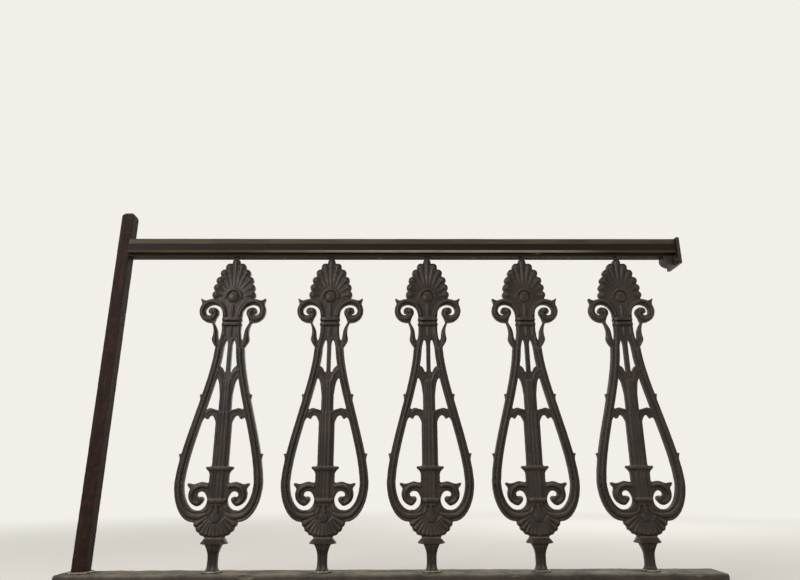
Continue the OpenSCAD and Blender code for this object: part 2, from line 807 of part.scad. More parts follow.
// Half-round reeds up both faces, at these distances from the axis: reed is [distance, radius]
module reeds(places, r, face, z_low, z_high) {
    for (x = places)
        for (side = [-1, 1])
            translate([x, side * face, z_low]) cylinder(h = z_high - z_low, r = r);
}
function three(reed) = [-reed.x, 0, reed.x];

// Foot below the cup, with the tenon that goes down into the lead
module foot() {
    translate([-foot_r, -foot_t / 2, -tenon_d]) cube([2 * foot_r, foot_t, cup_z + LAP + tenon_d]);
    plate(foot_t) both_sides() polygon(concat(
        [[-EPS, cup_z + FOOT_FLARE[0].y]], from(foot_r, cup_z, FOOT_FLARE),
        [[-EPS, cup_z + FOOT_FLARE[3].y]]
    ));
    reeds([-foot_reed.x, foot_reed.x], foot_reed.y, foot_t / 2, lead_lip_h + LAP, cup_z + LAP);
}
module cup() {
    side = [for (p = CUP_SIDE) [cup_r + p.x, cup_z + cup_h * p.y]];
    top_z = side[len(side) - 1].y;
    intersection() {
        plate(ring_t) both_sides() polygon(concat(
            [[-EPS, cup_z], [foot_r + cup_throat, cup_z]], side, [[-EPS, top_z]]
        ));
        translate([0, 0, cup_z - LAP])
            linear_extrude(top_z - cup_z + 2 * LAP)
            round_ended(cup_r, ring_t / 2);
    }
    plate(fillet_t) both_sides() polygon(concat(
        [[-EPS, root_z]], from(cup_r, root_z, CUP_NECK), [[-EPS, root_z + CUP_NECK[2].y]]
    ));
}

// Plain sheet of the casting and what stands up from it
module casting_sheet() {
    plate(web_t) both_sides() {
        arm_strip(0, 1);
        for (level = SPUR_LEVELS) spur(level);
        crown();
        leaf();
        neck();
        fork();
        stem();
        collar_flare();
        cross_leaf();
        lower_body();
        lower_scroll();
        upper_palmette();
        lower_palmette();
    }
    plate(fillet_t) both_sides() {
        arm_strip(fillet_from, fillet_to);
        arm_strip(1 - fillet_to, 1 - fillet_from);
    }
}
module casting_relief() {
    plate(ridge_t) both_sides() {
        arm_strip(0.5 - rib_share, 0.5 + rib_share);
        rib_tail();
        leaf_vein();
        band(polar_stations(curl_c, curl_r, CURL_RIDGE));
        band(polar_stations(scroll_c, scroll_r, SCROLL_RIDGE));
    }
    plate(ridge_t + boss_rise) {
        translate([0, palm_root_z]) circle(boss_r);
        translate([0, bowl_z + fan_boss_r]) circle(fan_boss_r);
        petal([0, tongue_top_z], slip_r / 2, [0, tongue_top_z - tongue_h], slip_r);
        arch();
    }
    boss_domes();
    petal_backs();
    reeds(three(stem_reed), stem_reed.y, web_t / 2, stem_floor_z, stem_reed_top);
    reeds(three(slim_reed), slim_reed.y, web_t / 2, cross_z, slim_reed_top);
    reeds(three(neck_reed), neck_reed.y, web_t / 2, neck_reed_foot, crown_z);
    wrap_ring(rings_z + ring_half + ring_edge, neck_r + ring_out, ring_half);
    wrap_ring(crown_z - ring_half - ring_edge, neck_r + ring_out, ring_half);
    wrap_ring(collar_z, stem_r + collar_out, collar_half);
    wrap_ring(base_ring_z, base_r + base_ring_out, collar_half);
}
module baluster(i) {
    color(iron)
    translate([baluster_x(i), 0, kerb_h])
    difference() {
        union() {
            foot();
            cup();
            casting_sheet();
            casting_relief();
        }
        translate([0, 0, tip_z - pin_depth]) cylinder(h = pin_depth + LAP, d = pin_d + 2 * pin_clear);
    }
}

landing_kerb();
newel_post();
newel_lead();
core_bar();
handrail();
wall_bracket();
for (i = [1 : baluster_count]) {
    baluster(i - 1);
    lead_seat(i - 1);
    tip_pin(i - 1);
}
for (i = [1 : screw_count])
    rail_screw(i - 1);
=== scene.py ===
"""Looks of a cast iron landing balustrade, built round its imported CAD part.

Five lyre castings stand in lead on a stone kerb and carry a moulded handrail between a square
newel post and a bracket on the wall. The pieces that show are modelled here at the CAD sizes,
with the relief, wear and dust of an old stair landing. Lengths are metres, in the CAD frame.
"""

import logging
import random
from contextlib import contextmanager
from dataclasses import dataclass
from enum import Enum
from functools import partial
from math import atan2, cos, hypot, pi, radians, sin
from typing import Any, Callable, Iterator, Sequence

import bpy
from mathutils import Matrix, Vector


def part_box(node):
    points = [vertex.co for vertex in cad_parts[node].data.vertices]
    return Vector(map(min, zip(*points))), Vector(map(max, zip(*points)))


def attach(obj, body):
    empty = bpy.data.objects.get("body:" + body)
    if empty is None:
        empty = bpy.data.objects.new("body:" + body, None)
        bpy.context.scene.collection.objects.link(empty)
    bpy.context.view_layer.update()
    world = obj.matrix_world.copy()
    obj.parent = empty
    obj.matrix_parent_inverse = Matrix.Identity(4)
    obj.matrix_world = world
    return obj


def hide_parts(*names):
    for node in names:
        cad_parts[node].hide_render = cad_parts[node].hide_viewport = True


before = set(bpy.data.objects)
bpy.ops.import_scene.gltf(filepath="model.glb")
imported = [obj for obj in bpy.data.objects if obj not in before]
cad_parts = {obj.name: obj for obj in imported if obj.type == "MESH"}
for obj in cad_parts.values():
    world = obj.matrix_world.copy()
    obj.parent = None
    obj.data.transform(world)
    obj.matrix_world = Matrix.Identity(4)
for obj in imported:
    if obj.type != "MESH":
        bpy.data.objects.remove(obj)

Piece = bpy.types.Object
Tree = bpy.types.NodeTree
Socket = bpy.types.NodeSocket
Adder = Callable[..., Socket]

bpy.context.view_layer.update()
BODY = "root"
MM = 0.001
MERGE_DISTANCE = 0.01 * MM
FLAT_DEG = 0.5
# Crown of a boss: where it starts and how far it is dished, as shares of the boss
CROWN_SHARE = 0.72
DISH_SHARE = 0.12
SEED = 1907
log = logging.getLogger("balustrade")


def select_only(*pieces: Piece) -> None:
    """Selects pieces and nothing else.

    Args:
        pieces: The pieces, of which the first becomes the active one.
    """
    bpy.ops.object.select_all(action="DESELECT")
    for piece in pieces:
        piece.select_set(True)
    bpy.context.view_layer.objects.active = pieces[0]


def add_by(operator: Callable[..., set[str]], **settings: Any) -> Piece:
    """Adds an object with nothing else selected.

    Args:
        operator: The operator that adds it, such as a primitive's.
        settings: What the operator is told.

    Returns:
        The new object.
    """
    bpy.ops.object.select_all(action="DESELECT")
    operator(**settings)
    return bpy.context.view_layer.objects.active


@contextmanager
def editing(piece: Piece, whole: bool = True) -> Iterator[None]:
    """Opens a piece in edit mode and closes it again.

    Args:
        piece: The piece to edit.
        whole: Selects the whole mesh; otherwise what was chosen before stays selected.

    Yields:
        Nothing, while the piece is open.
    """
    select_only(piece)
    bpy.ops.object.mode_set(mode="EDIT")
    if whole:
        bpy.ops.mesh.select_all(action="SELECT")
    yield
    bpy.ops.object.mode_set(mode="OBJECT")


def copy_of_node(node: str, name: str) -> Piece:
    """Makes a piece from a merged copy of a CAD node's mesh.

    Args:
        node: Name of the CAD node.
        name: Name of the new piece.

    Returns:
        The new object, at the origin, with a mesh of its own.
    """
    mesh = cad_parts[node].data.copy()
    mesh.materials.clear()
    piece = bpy.data.objects.new(name, mesh)
    bpy.context.scene.collection.objects.link(piece)
    with editing(piece):
        bpy.ops.mesh.remove_doubles(threshold=MERGE_DISTANCE)
    return piece


def clear_flats(piece: Piece) -> None:
    """Joins the flat triangles of a copied mesh into whole faces."""
    with editing(piece):
        bpy.ops.mesh.dissolve_limited(angle_limit=radians(FLAT_DEG))


def finish_with(piece: Piece, kind: str, **settings: Any) -> None:
    """Adds a modifier and applies it to the mesh.

    Args:
        piece: The piece, in object mode.
        kind: The modifier's type name.
        settings: Properties of the modifier.
    """
    select_only(piece)
    bpy.ops.object.modifier_add(type=kind)
    modifier = piece.modifiers[-1]
    for key, value in settings.items():
        setattr(modifier, key, value)
    bpy.ops.object.modifier_apply(modifier=modifier.name)


def round_edges(piece: Piece, width_mm: float, segments: int, over_deg: float) -> None:
    """Rounds every edge of a piece whose faces meet at more than that angle."""
    finish_with(piece, "BEVEL", width=width_mm * MM, segments=segments, limit_method="ANGLE",
                angle_limit=radians(over_deg))


def renew_skin(piece: Piece, voxel_mm: float, passes: int) -> None:
    """Gives a piece an even mesh of small faces and smooths it in that many passes."""
    finish_with(piece, "REMESH", mode="VOXEL", voxel_size=voxel_mm * MM)
    finish_with(piece, "SMOOTH", factor=0.5, iterations=passes)


def roughen(piece: Piece, lumps: Sequence[tuple], middle: float = 1.0) -> None:
    """Moves a surface by soft noise, once for each size of lump.

    Args:
        piece: The piece, with a mesh fine enough to show the noise.
        lumps: Width of the lumps and full travel of the surface, in mm.
        middle: Share of the travel that lies inwards; 1 moves the surface only inwards.
    """
    for width, depth in lumps:
        noise = bpy.data.textures.new(f"lumps_{piece.name}", "CLOUDS")
        noise.noise_scale = width * MM
        noise.noise_depth = 2
        finish_with(piece, "DISPLACE", texture=noise, strength=depth * MM, mid_level=middle,
                    texture_coords="LOCAL")
        bpy.data.textures.remove(noise)


def thin_to(piece: Piece, triangles: int) -> None:
    """Thins a mesh that is finer than it needs to be.

    Args:
        piece: The piece to thin.
        triangles: About how many triangles it may keep.
    """
    piece.data.calc_loop_triangles()
    count = len(piece.data.loop_triangles)
    if count > triangles:
        finish_with(piece, "DECIMATE", ratio=triangles / count)


def cut_out(piece: Piece, cutter: Piece, **settings: Any) -> None:
    """Cuts one piece out of another and clears it away.

    Args:
        piece: The piece that stays.
        cutter: The piece that is cut out of it.
        settings: Further properties of the cut.
    """
    finish_with(piece, "BOOLEAN", operation="DIFFERENCE", object=cutter, solver="EXACT",
                **settings)
    bpy.data.objects.remove(cutter)


def settle(piece: Piece) -> None:
    """Puts a piece's place, turn and size into its mesh."""
    select_only(piece)
    bpy.ops.object.transform_apply(location=True, rotation=True, scale=True)


def move(piece: Piece, shift: Sequence[float]) -> None:
    """Moves a piece and puts its new place into its mesh.

    Args:
        piece: The piece to move.
        shift: How far it moves, in metres.
    """
    select_only(piece)
    bpy.ops.transform.translate(value=shift)
    settle(piece)


def join(pieces: Sequence[Piece], name: str) -> Piece:
    """Joins pieces into the first of them.

    Args:
        pieces: The pieces, at least two.
        name: Name of the joined piece.

    Returns:
        The first piece, which now holds them all.
    """
    select_only(*pieces)
    bpy.ops.object.join()
    pieces[0].name = name
    return pieces[0]


def twin(piece: Piece, name: str, shift: Vector) -> Piece:
    """Copies a piece with a mesh of its own, and moves the copy.

    Args:
        piece: The piece to copy.
        name: Name of the copy.
        shift: How far the copy moves, in metres.

    Returns:
        The copy, with its place in its mesh.
    """
    select_only(piece)
    bpy.ops.object.duplicate(linked=False)
    copy = bpy.context.view_layer.objects.active
    copy.name = copy.data.name = name
    move(copy, shift)
    return copy


def choose_faces(piece: Piece, test: Callable[[Vector, Vector], bool]) -> None:
    """Selects faces by centre and normal, in object mode.

    Args:
        piece: The piece whose faces are chosen.
        test: Says of a face's centre and normal whether it is selected.
    """
    for part in (*piece.data.vertices, *piece.data.edges):
        part.select = False
    for polygon in piece.data.polygons:
        polygon.select = test(polygon.center, polygon.normal)


@dataclass
class Station:
    """One stop of a pulled rib: its place on the face of a casting and its radius, in mm."""

    x: float
    z: float
    radius: float


def pull_rib(stations: Sequence[Station], y: float, sides: int = 12) -> Piece:
    """Pulls a round rib that swells and tapers along a line on the face of a casting.

    Args:
        stations: Stops along the line, at least two.
        y: Place of the line across the casting, in mm.
        sides: Number of sides of the section.

    Returns:
        The rib as a closed piece.
    """
    points = [Vector((s.x, y, s.z)) * MM for s in stations]
    turns = []
    for i in range(len(points)):
        ahead = points[min(i + 1, len(points) - 1)] - points[max(i - 1, 0)]
        turns.append(atan2(ahead.x, ahead.z))
    rib = add_by(bpy.ops.mesh.primitive_circle_add, vertices=sides, fill_type="NGON",
                 radius=stations[0].radius * MM, location=points[0], rotation=(0, turns[0], 0))
    with editing(rib):
        for i in range(1, len(points)):
            step = points[i] - points[i - 1]
            bpy.ops.mesh.extrude_region_move(TRANSFORM_OT_translate={"value": step})
            turn = (turns[i] - turns[i - 1] + pi) % (2 * pi) - pi
            bpy.ops.transform.rotate(value=-turn, orient_axis="Y", center_override=points[i])
            swell = stations[i].radius / stations[i - 1].radius
            bpy.ops.transform.resize(value=(swell, swell, swell), center_override=points[i])
    settle(rib)
    return rib


def raise_boss(x: float, z: float, y: float, radius: float, height: float) -> Piece:
    """Raises a boss from a ball that is flattened and dished at its crown.

    Args:
        x: Place of its middle along the casting, in mm.
        z: Height of its middle, in mm.
        y: Place of its middle across the casting, in mm.
        radius: Half its width, in mm.
        height: How far it stands out from its middle, in mm.

    Returns:
        The boss as a closed piece.
    """
    boss = add_by(bpy.ops.mesh.primitive_uv_sphere_add, segments=24, ring_count=16, radius=1,
                  location=Vector((x, y, z)) * MM, rotation=(pi / 2, 0, 0),
                  scale=(radius * MM, radius * MM, height * MM))
    settle(boss)
    crown = (y - CROWN_SHARE * height) * MM
    choose_faces(boss, lambda centre, normal: centre.y < crown)
    with editing(boss, whole=False):
        bpy.ops.mesh.inset(thickness=DISH_SHARE * radius * MM)
        bpy.ops.transform.translate(value=(0, DISH_SHARE * height * MM, 0))
    return boss


def linear(colour: str) -> tuple[float, float, float, float]:
    """Turns an sRGB hex colour to linear RGBA."""
    parts = [int(colour[i:i + 2], 16) / 255 for i in (1, 3, 5)]
    return (*(p / 12.92 if p <= 0.04045 else ((p + 0.055) / 1.055) ** 2.4 for p in parts), 1.0)


def per_metre(size_mm: float) -> float:
    """Noise scale at which one lump is that many millimetres wide."""
    return 1 / (size_mm * MM)


def add_node(tree: Tree, kind: str, inputs: dict | None = None, stops: Sequence[tuple] = (),
             out: int | str = 0, **settings: Any) -> Socket | None:
    """Adds a node with its settings, links and ramp stops.

    Args:
        tree: The node tree that the node goes into.
        kind: The node's type name, without the words that all type names start with.
        inputs: Values or output sockets by input name or number.
        stops: Position and colour of both stops, for a colour ramp.
        out: Name or number of the output that is used.
        settings: Properties of the node.

    Returns:
        That output of the new node, or None for a node without outputs.
    """
    node = tree.nodes.new(f"ShaderNode{kind}")
    for key, value in settings.items():
        setattr(node, key, value)
    for key, value in (inputs or {}).items():
        if isinstance(value, Socket):
            tree.links.new(value, node.inputs[key])
        else:
            node.inputs[key].default_value = value
    for number, (position, colour) in enumerate(stops):
        element = node.color_ramp.elements[number]
        element.position, element.color = position, linear(colour)
    return node.outputs[out] if node.outputs else None


def slope_of(add: Adder) -> Socket:
    """Finds the slope of the surface: 1 where it faces up, -1 where it faces down."""
    normal = add("NewGeometry", out="Normal")
    return add("SeparateXYZ", {"Vector": normal}, out="Z")


def seen_straight(add: Adder) -> Socket:
    """Finds the rays that see a surface straight or mirrored.

    Args:
        add: Adds a node to the tree that is asked.

    Returns:
        1 for those rays and 0 for the rest.
    """
    camera = add("LightPath", out="Is Camera Ray")
    glossy = add("LightPath", out="Is Glossy Ray")
    return add("Math", {0: camera, 1: glossy}, operation="MAXIMUM")


@dataclass(frozen=True)
class Finish:
    """A finish of the object, or of the floor under it, that reads the Object coordinates."""

    name: str

    def shade(self, add: Adder, place: Socket) -> Socket:
        """Adds the nodes of the finish and returns its shader."""
        raise NotImplementedError

    def material(self) -> bpy.types.Material:
        """Builds the material the first time that it is asked for.

        Returns:
            The one material of the finish.
        """
        material = bpy.data.materials.get(self.name)
        if material is None:
            material = bpy.data.materials.new(self.name)
            material.use_nodes = True
            material.node_tree.nodes.clear()
            add = partial(add_node, material.node_tree)
            shader = self.shade(add, add("TexCoord", out="Object"))
            add("OutputMaterial", {"Surface": shader})
        return material


@dataclass(frozen=True)
class OldIron(Finish):
    """Iron under nearly black old oil paint: rust in patches, painted shade in grooves, bare iron
    and painted highlight on edges.
    """

    paint: str = "#15110e"
    faded_paint: str = "#2b221b"
    # Dull bare iron of worn edges, which also serves as painted highlight
    bare: str = "#544a40"
    rust: str = "#4a2c1b"
    stain: str = "#33211a"
    # Painted shade for the grooves, darker than the paint
    groove_shade: str = "#0c0908"
    dust: str = "#8a7b66"
    grain_mm: float = 1.4
    lump_mm: float = 11.0
    patch_mm: float = 60.0
    run_mm: float = 9.0
    drift_mm: float = 5.0
    rust_share: float = 0.44
    dust_share: float = 0.6
    grain_depth: float = 0.4
    sheen: float = 0.42
    gloss: float = 0.28

    def coat(self, add: Adder, place: Socket, spots: Socket) -> tuple[Socket, Socket]:
        """Lays the paint, its rust and the stains under it.

        Args:
            add: Adds a node to the material.
            place: Object coordinates.
            spots: The noise that the rust breaks through in.

        Returns:
            The colour of the coat, and how rusty it is from 0 to 1.
        """
        # Broad patches where the paint has faded to a warmer brown
        patches = add("TexNoise", {
            "Vector": place, "Scale": per_metre(self.patch_mm), "Detail": 4.0, "Roughness": 0.6})
        coat = add("ValToRGB", {"Fac": patches},
                   stops=[(0.38, self.paint), (0.64, self.faded_paint)])
        # Rust water has run down the iron: the pattern is stretched eight times along Z
        down = add("Mapping", {"Vector": place, "Scale": (1, 1, 0.12)})
        runs = add("TexNoise", {
            "Vector": down, "Scale": per_metre(self.run_mm), "Detail": 4.0, "Roughness": 0.55})
        stained = add("MapRange", {
            "Value": runs, "From Min": 0.5, "From Max": 0.68, "To Max": 0.7})
        # Rust that breaks through in spots about as wide as a lump
        rusty = add("MapRange", {
            "Value": spots, "From Min": 1 - self.rust_share, "From Max": 1.12 - self.rust_share,
            "To Max": 0.85})
        for share, colour in ((stained, self.stain), (rusty, self.rust)):
            coat = add("Mix", {0: share, 6: coat, 7: linear(colour)}, out=2, data_type="RGBA")
        return coat, rusty

    def shade(self, add: Adder, place: Socket) -> Socket:
        """Adds the coat, then painted shade and dirt, wear and painted highlight, and dust over
        it, and its skin.

        Args:
            add: Adds a node to the material.
            place: Object coordinates.

        Returns:
            The shader.
        """
        spots = add("TexNoise", {
            "Vector": place, "Scale": per_metre(self.lump_mm), "Detail": 6.0, "Roughness": 0.7,
            "Distortion": 0.4})
        coat, rusty = self.coat(add, place, spots)
        # Grooves darken with black dirt and painted shade; raised edges pale to dull bare iron,
        # worn by hands and cloths, and to a painted highlight
        bend = add("NewGeometry", out="Pointiness")
        shaded_grooves = add("MapRange", {
            "Value": bend, "From Min": 0.49, "From Max": 0.43, "To Max": 0.85})
        edges = add("MapRange", {
            "Value": bend, "From Min": 0.515, "From Max": 0.59, "To Max": 0.8})
        # Dust lies where the surface faces up, in drifts a few millimetres wide
        drift = add("TexNoise", {
            "Vector": place, "Scale": per_metre(self.drift_mm), "Detail": 5.0,
            "Roughness": 0.65})
        lying = add("MapRange", {
            "Value": slope_of(add), "From Min": 0.35, "From Max": 0.95,
            "To Max": 1.7 * self.dust_share})
        dusty = add("Math", {0: lying, 1: drift}, operation="MULTIPLY", use_clamp=True)
        # Painted shade and dirt in the grooves, worn bare iron and painted highlight on the edges,
        # then dust
        for share, colour in ((shaded_grooves, self.groove_shade), (edges, self.bare), (dusty, self.dust)):
            coat = add("Mix", {0: share, 6: coat, 7: linear(colour)}, out=2, data_type="RGBA")
        # Paint keeps a low sheen; rust and dust have none
        matt = add("Math", {0: rusty, 1: dusty}, operation="MAXIMUM")
        roughness = add("MapRange", {"Value": matt, "To Min": self.sheen, "To Max": 0.9})
        # Sand grain of the casting under brush-thick paint
        grain = add("TexNoise", {
            "Vector": place, "Scale": per_metre(self.grain_mm), "Detail": 3.0, "Roughness": 0.6})
        fine = add("Bump", {"Height": grain, "Strength": self.grain_depth, "Distance": 0.5 * MM})
        skin = add("Bump", {
            "Height": spots, "Strength": 0.5, "Distance": 1.2 * MM, "Normal": fine})
        # Chalky old paint reflects about half of what fresh paint does
        return add("BsdfPrincipled", {
            "Base Color": coat, "Roughness": roughness, "Normal": skin, "Metallic": 0.0,
            "IOR": 1.5, "Specular IOR Level": self.gloss})


@dataclass(frozen=True)
class StainedWood(Finish):
    """Mahogany rail: black with old polish on its sides, with painted light above and below."""

    name: str = "old_polished_mahogany"
    dark: str = "#120d0a"
    figure: str = "#1e160f"
    # Colour of the painted light on the rounded top
    top: str = "#4f4638"
    # Colours of the painted light on the lower round, in the middle and towards the ends
    arris: str = "#978b7c"
    end_arris_light: str = "#54402f"
    grain_mm: float = 2.2
    figure_mm: float = 16.0
    streak_mm: float = 22.0
    # Height of the quirk, and where the painted light on the lower round begins and is palest from
    # either end, in metres
    crown_z: float = 0.978
    arris_light_ends: tuple = ((-0.62, -0.12), (0.6, 0.3))

    def lit_top(self, add: Adder, place: Socket, streak_noise: Socket) -> Socket:
        """Finds where the rounded top gets its painted light.

        Args:
            add: Adds a node to the material.
            place: Object coordinates.
            streak_noise: Noise in long streaks.

        Returns:
            The painted light on the top from 0 to 1, strongest where the surface faces up.
        """
        height = add("SeparateXYZ", {"Vector": place}, out="Z")
        # Painted light covers the round above the quirk all the way down to the quirk
        crown = add("MapRange", {
            "Value": height, "From Min": self.crown_z - 0.5 * MM,
            "From Max": self.crown_z + 0.5 * MM, "To Max": 0.8})
        # Painted light where the surface faces up
        upward = add("MapRange", {"Value": slope_of(add), "From Min": 0.1, "From Max": 0.8})
        streaks = add("MapRange", {
            "Value": streak_noise, "From Min": 0.3, "From Max": 0.56, "To Min": 0.35})
        either = add("Math", {0: crown, 1: upward}, operation="MAXIMUM")
        return add("Math", {0: either, 1: streaks}, operation="MULTIPLY")

    def lit_lower_arris(self, add: Adder, place: Socket, streak_noise: Socket) -> tuple[Socket, Socket]:
        """Finds where the lower arris gets painted light from below.

        Args:
            add: Adds a node to the material.
            place: Object coordinates.
            streak_noise: Noise in long streaks.

        Returns:
            The painted light on the lower round from 0 to 1, and its colour along the rail.
        """
        slope = slope_of(add)
        below = add("MapRange", {
            "Value": slope, "From Min": -0.1, "From Max": -0.35, "To Max": 0.95})
        # The painted light stops at the flat underside behind the round, which stays black
        flat = add("MapRange", {
            "Value": slope, "From Min": -0.97, "From Max": -0.99, "To Min": 1.0, "To Max": 0.0})
        streaks = add("MapRange", {
            "Value": streak_noise, "From Min": 0.32, "From Max": 0.56, "To Min": 0.45})
        # Painted light on the round where it faces down, broken in streaks
        wear = add("Math", {0: below, 1: streaks}, operation="MULTIPLY")
        wear = add("Math", {0: wear, 1: flat}, operation="MULTIPLY")
        # The painted light is palest in the middle of the run, redder towards both ends
        side = add("SeparateXYZ", {"Vector": place}, out="X")
        left, right = (add("MapRange", {
            "Value": side, "From Min": outer, "From Max": inner,
        }, interpolation_type="SMOOTHSTEP") for outer, inner in self.arris_light_ends)
        middle = add("Math", {0: left, 1: right}, operation="MULTIPLY")
        colour = add("Mix", {
            0: middle, 6: linear(self.end_arris_light), 7: linear(self.arris),
        }, out=2, data_type="RGBA")
        return wear, colour

    def shade(self, add: Adder, place: Socket) -> Socket:
        """Adds the stained wood with its grain along the rail, and the painted light over it.

        Args:
            add: Adds a node to the material.
            place: Object coordinates.

        Returns:
            The shader.
        """
        # Long fibres: the pattern is stretched thirty times along X
        along = add("Mapping", {"Vector": place, "Scale": (0.033, 1, 1)})
        fibres = add("TexNoise", {
            "Vector": along, "Scale": per_metre(self.grain_mm), "Detail": 5.0, "Roughness": 0.7,
            "Distortion": 0.3})
        figure = add("TexNoise", {
            "Vector": along, "Scale": per_metre(self.figure_mm), "Detail": 3.0,
            "Distortion": 0.8})
        both = add("Mix", {0: 0.45, 2: figure, 3: fibres})
        wood = add("ValToRGB", {"Fac": both}, stops=[(0.36, self.dark), (0.66, self.figure)])
        # The painted light comes and goes in streaks eight times as long as they are wide
        streaks = add("Mapping", {"Vector": place, "Scale": (0.12, 1, 1)})
        streak_noise = add("TexNoise", {
            "Vector": streaks, "Scale": per_metre(self.streak_mm), "Detail": 6.0,
            "Roughness": 0.7})
        # Painted light from below on the lower round, then painted light from above on the top
        for share, colour in (self.lit_lower_arris(add, place, streak_noise),
                              (self.lit_top(add, place, streak_noise), linear(self.top))):
            wood = add("Mix", {0: share, 6: wood, 7: colour}, out=2, data_type="RGBA")
        # Open fibres catch the light along the rail
        bump = add("Bump", {"Height": fibres, "Strength": 0.25, "Distance": 0.4 * MM})
        # The polish has perished, so the wood reflects about a quarter of what it did
        return add("BsdfPrincipled", {
            "Base Color": wood, "Roughness": 0.6, "Normal": bump, "IOR": 1.5,
            "Specular IOR Level": 0.12})


@dataclass(frozen=True)
class DressedStone(Finish):
    """Dark limestone, split and dressed, with trodden dirt and plaster dust on top."""

    name: str = "dressed_dark_limestone"
    dark: str = "#241f1b"
    pale: str = "#4a4239"
    dust: str = "#857b6b"
    fresh: str = "#6f6456"
    grit_mm: float = 2.5
    cloud_mm: float = 70.0

    def shade(self, add: Adder, place: Socket) -> Socket:
        """Adds the stone, with dust on what faces up and paler stone on broken edges.

        Args:
            add: Adds a node to the material.
            place: Object coordinates.

        Returns:
            The shader.
        """
        # Cloudy stone with grit in it
        clouds = add("TexNoise", {
            "Vector": place, "Scale": per_metre(self.cloud_mm), "Detail": 6.0,
            "Roughness": 0.65})
        grit = add("TexNoise", {
            "Vector": place, "Scale": per_metre(self.grit_mm), "Detail": 4.0, "Roughness": 0.7})
        both = add("Mix", {0: 0.4, 2: clouds, 3: grit})
        stone = add("ValToRGB", {"Fac": both}, stops=[(0.36, self.dark), (0.64, self.pale)])
        # Knocked arrises show the paler stone under the dirt
        bend = add("NewGeometry", out="Pointiness")
        edges = add("MapRange", {"Value": bend, "From Min": 0.53, "From Max": 0.6, "To Max": 0.7})
        # Dust lies on top, thinner over the darker clouds
        up = add("MapRange", {
            "Value": slope_of(add), "From Min": 0.3, "From Max": 0.9, "To Max": 0.85})
        drift = add("MapRange", {"Value": both, "From Min": 0.38, "From Max": 0.6})
        dusty = add("Math", {0: up, 1: drift}, operation="MULTIPLY")
        for share, colour in ((edges, self.fresh), (dusty, self.dust)):
            stone = add("Mix", {0: share, 6: stone, 7: linear(colour)}, out=2, data_type="RGBA")
        bump = add("Bump", {"Height": grit, "Strength": 0.6, "Distance": 0.8 * MM})
        return add("BsdfPrincipled", {
            "Base Color": stone, "Roughness": 0.86, "Normal": bump, "IOR": 1.5,
            "Specular IOR Level": 0.3})


@dataclass(frozen=True)
class PouredLead(Finish):
    """Lead run in hot and dressed down with a punch, dull grey under a pale warm bloom."""

    name: str = "poured_lead"
    dull: str = "#45423f"
    bloom: str = "#a79c8b"
    cloud_mm: float = 9.0

    def shade(self, add: Adder, place: Socket) -> Socket:
        """Adds the lead, whose bloom and punch marks follow the same noise.

        Args:
            add: Adds a node to the material.
            place: Object coordinates.

        Returns:
            The shader.
        """
        cloud = add("TexNoise", {
            "Vector": place, "Scale": per_metre(self.cloud_mm), "Detail": 5.0, "Roughness": 0.6})
        colour = add("ValToRGB", {"Fac": cloud}, stops=[(0.35, self.dull), (0.66, self.bloom)])
        bump = add("Bump", {"Height": cloud, "Strength": 0.5, "Distance": 0.8 * MM})
        return add("BsdfPrincipled", {
            "Base Color": colour, "Roughness": 0.72, "Metallic": 0.25, "Normal": bump})


@dataclass(frozen=True)
class PaleFloor(Finish):
    """Matt pale floor that fades into the backdrop some metres away."""

    name: str = "pale_floor"
    pale: str = "#f2efe8"
    fade_from: float = 1.2
    fade_to: float = 4.5

    def shade(self, add: Adder, place: Socket) -> Socket:
        """Adds the matt floor, and its fading for the rays that see it straight.

        Args:
            add: Adds a node to the material.
            place: Object coordinates.

        Returns:
            The shader.
        """
        away = add("VectorMath", {0: place}, out="Value", operation="LENGTH")
        far = add("MapRange", {
            "Value": away, "From Min": self.fade_from, "From Max": self.fade_to,
        }, interpolation_type="SMOOTHSTEP")
        faded = add("Math", {0: seen_straight(add), 1: far}, operation="MULTIPLY")
        matt = add("BsdfDiffuse", {"Color": linear(self.pale)})
        plain = add("Emission", {"Color": linear(self.pale), "Strength": 1.0})
        return add("MixShader", {0: faded, 1: matt, 2: plain})


class Paintwork(Enum):
    """The finishes that the pieces of the balustrade wear."""

    CAST_IRON = OldIron("painted_sand_cast_iron")
    # The core bar's dark iron, darkened further throughout as painted shade under the rail
    SHADED_BAR_IRON = OldIron("bar_iron_with_painted_shade", paint="#120b08", faded_paint="#1c110c",
                           bare="#332822", rust="#341a11", grain_mm=2.4, lump_mm=16.0,
                           rust_share=0.46, grain_depth=0.5, sheen=0.6, gloss=0.1)
    NEWEL_IRON = OldIron("red_oxide_painted_iron", paint="#150c09", faded_paint="#23140e",
                         rust="#3f2318", bare="#3a2f28", lump_mm=18.0, patch_mm=90.0,
                         rust_share=0.47, sheen=0.62, gloss=0.1)
    SCREW_STEEL = OldIron("rusted_screw_iron", paint="#2a1c14", faded_paint="#3a281c",
                          rust_share=0.6, lump_mm=4.0, dust_share=0.3)
    RAIL_WOOD = StainedWood()
    KERB_STONE = DressedStone()
    LEAD = PouredLead()


def dress(piece: Piece, finish: Paintwork, slot: str | None = None,
          smooth_deg: float = 60.0) -> None:
    """Gives a finished piece its material, its shading and its body.

    Args:
        piece: The piece, with its place in its mesh.
        finish: The finish it wears.
        slot: The record's material slot, or None for a CAD node that keeps its own; only whether
            it is given is read, and a piece with a slot joins the body.
        smooth_deg: Faces that meet at less than this angle are shaded as one, in degrees.
    """
    piece.data.materials.clear()
    piece.data.materials.append(finish.value.material())
    select_only(piece)
    bpy.ops.object.shade_smooth_by_angle(angle=radians(smooth_deg))
    if slot is not None:
        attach(piece, BODY)
    log.info("%s: %d faces, %s", piece.name, len(piece.data.polygons), finish.value.name)


